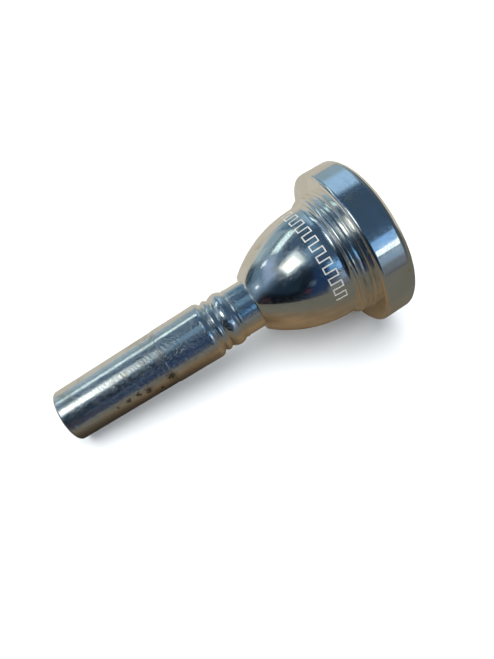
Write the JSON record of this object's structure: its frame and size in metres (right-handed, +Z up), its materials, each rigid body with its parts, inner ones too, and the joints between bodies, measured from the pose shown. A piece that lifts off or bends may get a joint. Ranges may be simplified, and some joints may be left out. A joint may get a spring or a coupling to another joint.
{
  "type": "trombone mouthpiece",
  "caption": "Silver-plated brass instrument mouthpiece: rounded rim, full bulb with the bowl inside, beaded neck and a tapered shank, taken apart at its threads and sleeve.",
  "frame": {"origin": "on the table under the middle of the bounding box, with the part lying on the rim's back edge and the tip of its shank", "axes": "+Z up; the rim points along -Y and leans up by 10.2 degrees; the shank's tip points along +Y; the bore's axis lies in the plane X = 0"},
  "size_m": [0.0394, 0.0858, 0.0397],
  "materials": {
    "silver_plate": "polished silver plate over brass, with fine hairline scratches",
    "worn_silver_plate": "silver plate over brass, dulled and scratched round by the receiver, with dark tarnish specks"
  },
  "bodies": {
    "sleeve": {"shank_sleeve": "worn_silver_plate"},
    "stem": {"stem": "silver_plate"},
    "cup": {"cup": "silver_plate"},
    "rim": {"rim": "silver_plate"}
  },
  "joints": [
    {"name": "sleeve_off", "type": "slide", "parent": "sleeve", "child": "stem", "axis": [0, -0.9842, 0.1769], "range_m": [0, 0.028]},
    {"name": "cup_off", "type": "slide", "parent": "stem", "child": "cup", "axis": [0, -0.9842, 0.1769], "range_m": [0, 0.008]},
    {"name": "rim_off", "type": "slide", "parent": "cup", "child": "rim", "axis": [0, -0.9842, 0.1769], "range_m": [0, 0.0075]}
  ]
}
